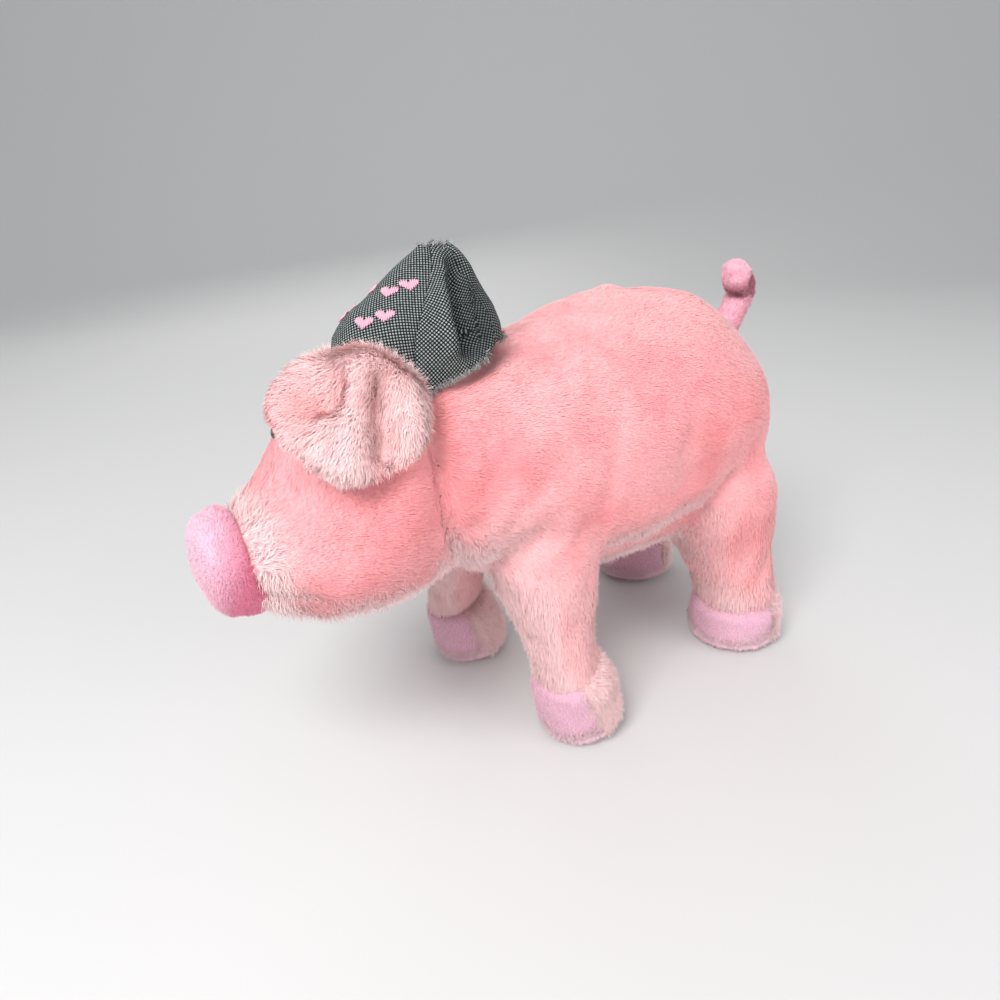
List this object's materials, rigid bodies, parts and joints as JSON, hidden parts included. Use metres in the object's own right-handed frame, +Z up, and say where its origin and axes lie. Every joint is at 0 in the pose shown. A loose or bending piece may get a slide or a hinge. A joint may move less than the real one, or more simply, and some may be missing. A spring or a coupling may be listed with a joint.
{
  "type": "plush pig",
  "caption": "Stuffed plush pig standing on its hooves, with a flat snout, floppy ears, a curled tail and a peaked cloth hat sewn on its head.",
  "frame": {"origin": "middle of the bounding box's floor, under the belly, on the surface the toy stands on", "axes": "+X from the snout towards the tail, +Y to the toy's right side, +Z up"},
  "size_m": [0.2985, 0.1338, 0.219],
  "materials": {
    "plush": "short brushed pile",
    "head_plush": "brushed pile with a soft sheen",
    "pale_plush": "long soft pile",
    "velour": "smooth velour",
    "tail_velour": "smooth velour",
    "filling": "loose fibre",
    "cloth": "basket weave",
    "eye_plastic": "polished",
    "washer_plastic": "as moulded"
  },
  "bodies": {
    "trunk": {"body_side_left": "plush", "body_side_right": "plush", "belly_gusset": "plush", "body_stuffing": "filling", "head_side_left": "head_plush", "head_side_right": "head_plush", "head_stuffing": "filling", "snout_band": "velour", "snout_disc": "velour", "eye_left": "eye_plastic", "eye_right": "eye_plastic", "eye_washer_left": "washer_plastic", "eye_washer_right": "washer_plastic", "leg_sleeve_front_left": "plush", "leg_stuffing_front_left": "filling", "hoof_back_front_left": "pale_plush", "hoof_front_front_left": "velour", "hoof_sole_front_left": "pale_plush", "leg_sleeve_front_right": "plush", "leg_stuffing_front_right": "filling", "hoof_back_front_right": "pale_plush", "hoof_front_front_right": "velour", "hoof_sole_front_right": "pale_plush", "leg_sleeve_rear_left": "plush", "leg_stuffing_rear_left": "filling", "hoof_back_rear_left": "pale_plush", "hoof_front_rear_left": "velour", "hoof_sole_rear_left": "pale_plush", "leg_sleeve_rear_right": "plush", "leg_stuffing_rear_right": "filling", "hoof_back_rear_right": "pale_plush", "hoof_front_rear_right": "velour", "hoof_sole_rear_right": "pale_plush", "hat_front_panel": "cloth", "hat_left_panel": "cloth", "hat_rear_panel": "cloth", "hat_right_panel": "cloth"},
    "ear_left_flap": {"ear_outer_left": "pale_plush", "ear_lining_left": "pale_plush"},
    "ear_right_flap": {"ear_outer_right": "pale_plush", "ear_lining_right": "pale_plush"},
    "tail": {"tail_skin": "tail_velour", "tail_stuffing": "filling"}
  },
  "joints": [
    {"name": "ear_left_lift", "type": "hinge", "parent": "trunk", "child": "ear_left_flap", "pos_m": [-0.0759, -0.0214, 0.1846], "axis": [-0.6556, 0.6556, 0.3746], "range_deg": [0, 60]},
    {"name": "ear_right_lift", "type": "hinge", "parent": "trunk", "child": "ear_right_flap", "pos_m": [-0.0677, 0.0271, 0.1827], "axis": [0.9776, 0.2078, -0.0349], "range_deg": [0, 60]},
    {"name": "tail_bend", "type": "hinge", "parent": "trunk", "child": "tail", "pos_m": [0.13547, 0, 0.16067], "axis": [0, 1, 0], "range_deg": [-10, 35], "stiffness_Nm_per_rad": 0.02}
  ]
}
